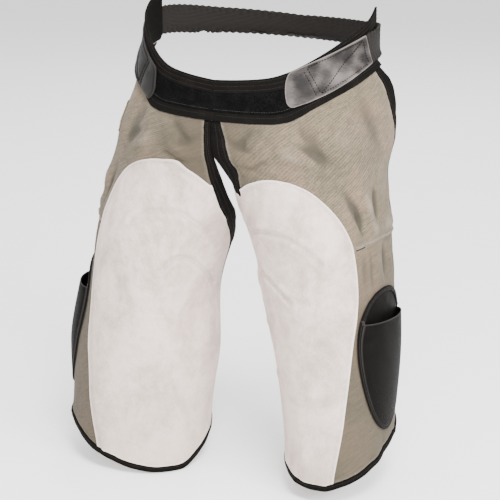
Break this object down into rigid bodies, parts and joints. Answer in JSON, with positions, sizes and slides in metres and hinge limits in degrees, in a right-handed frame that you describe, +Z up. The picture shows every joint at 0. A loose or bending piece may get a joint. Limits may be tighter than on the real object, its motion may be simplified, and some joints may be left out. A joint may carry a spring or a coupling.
{
  "type": "apron chaps",
  "caption": "Canvas apron chaps with suede knee and shin fronts, a black waist yoke with its belt, and outer leg pockets, worn and hollow.",
  "frame": {"origin": "middle of the waist, where the belt carries the garment on the wearer", "axes": "+Z up, -Y is the front, +X is the wearer's left"},
  "size_m": [0.5197, 0.3314, 0.7095],
  "materials": {
    "canvas": "heavy grey-olive twill canvas, matt",
    "suede": "pale pinkish-grey split suede, napped and matt",
    "binding": "folded dark brown-black tape, matt",
    "yoke_fabric": "black woven yoke cloth with stitch rows",
    "loop_pile": "black brushed loop pile for fastening",
    "belt_webbing": "black elastic webbing",
    "tab_leather": "dark grey smooth leather, slight sheen",
    "pocket_leather": "black-brown smooth leather, soft sheen",
    "patch_leather": "small bare tan leather patch"
  },
  "bodies": {
    "root": {"yoke_cloth": "yoke_fabric", "yoke_top_band": "yoke_fabric", "yoke_pile": "loop_pile", "yoke_bottom_binding": "binding", "back_belt": "belt_webbing", "hip_panel_left": "canvas", "hip_panel_right": "canvas", "shin_panel_left": "canvas", "shin_panel_right": "canvas", "suede_patch_left": "suede", "suede_patch_right": "suede", "front_binding_left": "binding", "front_binding_right": "binding", "hem_binding_left": "binding", "hem_binding_right": "binding", "back_binding_left": "binding", "back_binding_right": "binding", "belt_tab_left": "tab_leather", "belt_tab_right": "tab_leather", "pocket_back_left": "pocket_leather", "pocket_back_right": "pocket_leather", "pocket_piping_left": "pocket_leather", "pocket_piping_right": "pocket_leather", "pocket_pouch_left": "pocket_leather", "pocket_pouch_right": "pocket_leather", "leg_strap_left": "belt_webbing", "leg_strap_right": "belt_webbing", "hip_patch_right": "patch_leather"}
  },
  "joints": []
}
